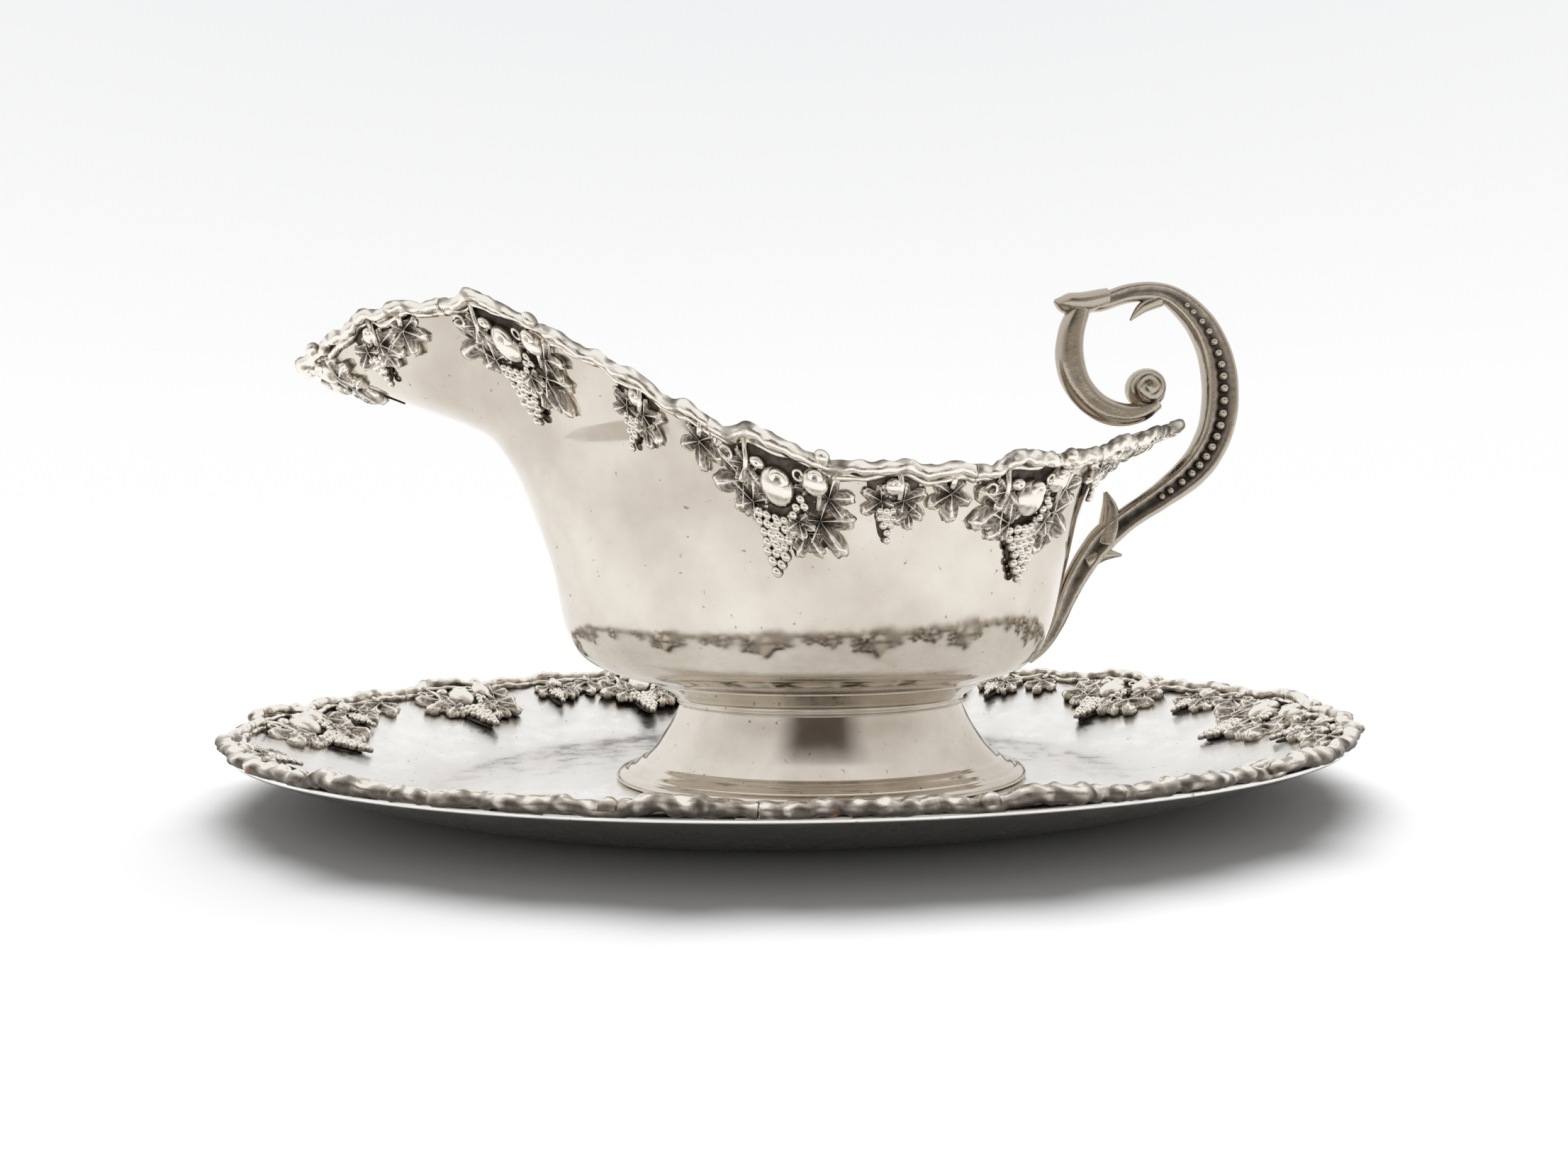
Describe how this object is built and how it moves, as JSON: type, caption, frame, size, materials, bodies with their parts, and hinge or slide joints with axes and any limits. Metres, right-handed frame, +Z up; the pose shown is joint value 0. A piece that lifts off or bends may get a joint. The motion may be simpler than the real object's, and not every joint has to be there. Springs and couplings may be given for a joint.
{
  "type": "gravy boat",
  "caption": "Footed sauce boat with a swept pouring lip and scroll handle, standing loose on an oval under-tray; cast vine borders on both rims.",
  "frame": {"origin": "centre of the under-tray's flat underside, on the table", "axes": "+Z up; +X from the pouring lip to the handle, along the tray's long axis; +Y across"},
  "size_m": [0.2759, 0.1997, 0.1263],
  "materials": {
    "tray_plate": "gloss",
    "boat_plate": "gloss",
    "handle_plate": "satin",
    "border_plate": "satin"
  },
  "bodies": {
    "tray": {"tray_dish": "tray_plate", "tray_border_01": "border_plate", "tray_border_02": "border_plate", "tray_border_03": "border_plate", "tray_border_04": "border_plate", "tray_border_05": "border_plate", "tray_border_06": "border_plate", "tray_border_07": "border_plate", "tray_border_08": "border_plate", "tray_border_09": "border_plate", "tray_border_10": "border_plate", "tray_border_11": "border_plate"},
    "boat": {"boat_foot": "boat_plate", "boat_bowl": "boat_plate", "boat_handle": "handle_plate", "boat_border_01": "border_plate", "boat_border_02": "border_plate", "boat_border_03": "border_plate", "boat_border_04": "border_plate", "boat_border_05": "border_plate", "boat_border_06": "border_plate", "boat_border_07": "border_plate", "boat_border_08": "border_plate"}
  },
  "joints": [
    {"name": "boat_lift", "type": "slide", "parent": "tray", "child": "boat", "axis": [0, 0, 1], "range_m": [0, 0.12]}
  ]
}
